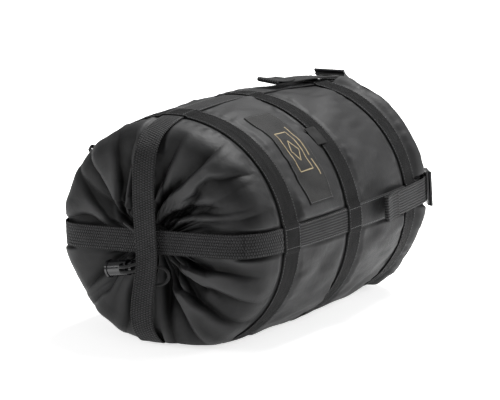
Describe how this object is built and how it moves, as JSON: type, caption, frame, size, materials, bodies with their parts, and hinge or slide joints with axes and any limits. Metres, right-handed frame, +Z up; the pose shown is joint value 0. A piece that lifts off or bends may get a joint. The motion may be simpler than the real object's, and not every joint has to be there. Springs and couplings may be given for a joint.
{
  "type": "compression sack",
  "caption": "Drawstring compression sack lying on its side: gathered mouth with cord lock, three round webbing bands, crossed end straps and ladder locks that pull the base in.",
  "frame": {"origin": "centre of the bounding box on the ground, without the free drawcord and its lock", "axes": "+X along the sack from the mouth to the base, +Z up, -Y the side with the label and the visible strap"},
  "size_m": [0.3708, 0.2612, 0.2328],
  "materials": {
    "sack_fabric": "woven nylon, low sheen",
    "webbing": "ribbed webbing, matt",
    "cord": "braided round cord",
    "label_patch": "sewn woven patch",
    "tab_tape": "satin tape",
    "buckle_plastic": "moulded acetal, satin",
    "cord_lock_plastic": "glossy moulded",
    "spring_steel": "plain wire"
  },
  "bodies": {
    "sack": {"gathered_end": "sack_fabric", "mouth_hem": "sack_fabric", "drawcord": "cord", "body_panel_front": "sack_fabric", "body_panel_rear": "sack_fabric", "strap_mouth_vertical": "webbing", "strap_mouth_horizontal": "webbing", "strap_doubler": "webbing", "front_band": "webbing", "middle_band": "webbing", "strap_sewn_top": "webbing", "strap_sewn_near": "webbing", "strap_sewn_bottom": "webbing", "strap_sewn_far": "webbing", "strap_lower_top": "webbing", "strap_lower_near": "webbing", "strap_lower_bottom": "webbing", "strap_lower_far": "webbing", "label": "label_patch", "size_tab": "tab_tape", "hang_loop": "webbing"},
    "base_end": {"base_panel": "sack_fabric", "rear_band": "webbing", "base_strap_vertical": "webbing", "base_strap_horizontal": "webbing", "strap_wrap_top": "webbing", "strap_wrap_near": "webbing", "strap_wrap_bottom": "webbing", "strap_wrap_far": "webbing", "strap_tail_bottom": "webbing"},
    "ladder_lock_top": {"ladder_lock_top": "buckle_plastic"},
    "ladder_lock_near": {"ladder_lock_near": "buckle_plastic"},
    "ladder_lock_bottom": {"ladder_lock_bottom": "buckle_plastic"},
    "ladder_lock_far": {"ladder_lock_far": "buckle_plastic"},
    "strap_tail_top": {"strap_tail_top": "webbing"},
    "strap_tail_near": {"strap_tail_near": "webbing"},
    "strap_tail_far": {"strap_tail_far": "webbing"},
    "cord_lock": {"cord_lock_barrel": "cord_lock_plastic", "cord_lock_spring": "spring_steel"},
    "cord_lock_button": {"cord_lock_button": "cord_lock_plastic"}
  },
  "joints": [
    {"name": "compression", "type": "slide", "parent": "sack", "child": "base_end", "axis": [-1, 0, 0], "range_m": [0, 0.05], "deforming": ["body_panel_rear", "strap_lower_top", "strap_lower_near", "strap_lower_bottom", "strap_lower_far"]},
    {"name": "ladder_lock_top_lift", "type": "hinge", "parent": "base_end", "child": "ladder_lock_top", "pos_m": [0.17975, 0.00739, 0.1976], "axis": [-0.0017, 0.9972, -0.075], "range_deg": [0, 40], "deforming": ["strap_wrap_top"]},
    {"name": "ladder_lock_near_lift", "type": "hinge", "parent": "base_end", "child": "ladder_lock_near", "pos_m": [0.17769, -0.09822, 0.10679], "axis": [0.0226, 0.075, 0.9969], "range_deg": [0, 40], "deforming": ["strap_wrap_near"]},
    {"name": "ladder_lock_bottom_lift", "type": "hinge", "parent": "base_end", "child": "ladder_lock_bottom", "pos_m": [0.17826, -0.00562, 0.02458], "axis": [0.0017, -0.9972, 0.075], "range_deg": [0, 40], "deforming": ["strap_wrap_bottom"]},
    {"name": "ladder_lock_far_lift", "type": "hinge", "parent": "base_end", "child": "ladder_lock_far", "pos_m": [0.17735, 0.09822, 0.09202], "axis": [-0.0226, -0.075, -0.9969], "range_deg": [0, 40], "deforming": ["strap_wrap_far"]},
    {"name": "strap_tail_top_slide", "type": "slide", "parent": "base_end", "child": "strap_tail_top", "axis": [-0.9799, 0.0133, 0.1989], "range_m": [0, 0.05]},
    {"name": "strap_tail_near_slide", "type": "slide", "parent": "base_end", "child": "strap_tail_near", "axis": [-0.9836, -0.1767, 0.0356], "range_m": [0, 0.05]},
    {"name": "strap_tail_far_slide", "type": "slide", "parent": "base_end", "child": "strap_tail_far", "axis": [-0.9842, 0.1767, 0.009], "range_m": [0, 0.05]},
    {"name": "cord_lock_slide", "type": "slide", "parent": "sack", "child": "cord_lock", "axis": [-0.9997, 0, 0.0227], "range_m": [0, 0.01], "deforming": ["drawcord"]},
    {"name": "cord_lock_press", "type": "slide", "parent": "cord_lock", "child": "cord_lock_button", "axis": [-0.0043, 0.9816, -0.1908], "range_m": [0, 0.003], "stiffness_N_per_m": 350, "springref_m": -0.002, "deforming": ["cord_lock_spring"]}
  ],
  "couplings": [
    {"joint": "strap_tail_top_slide", "follows": "compression", "ratio": 1},
    {"joint": "strap_tail_near_slide", "follows": "compression", "ratio": 1},
    {"joint": "strap_tail_far_slide", "follows": "compression", "ratio": 1}
  ]
}
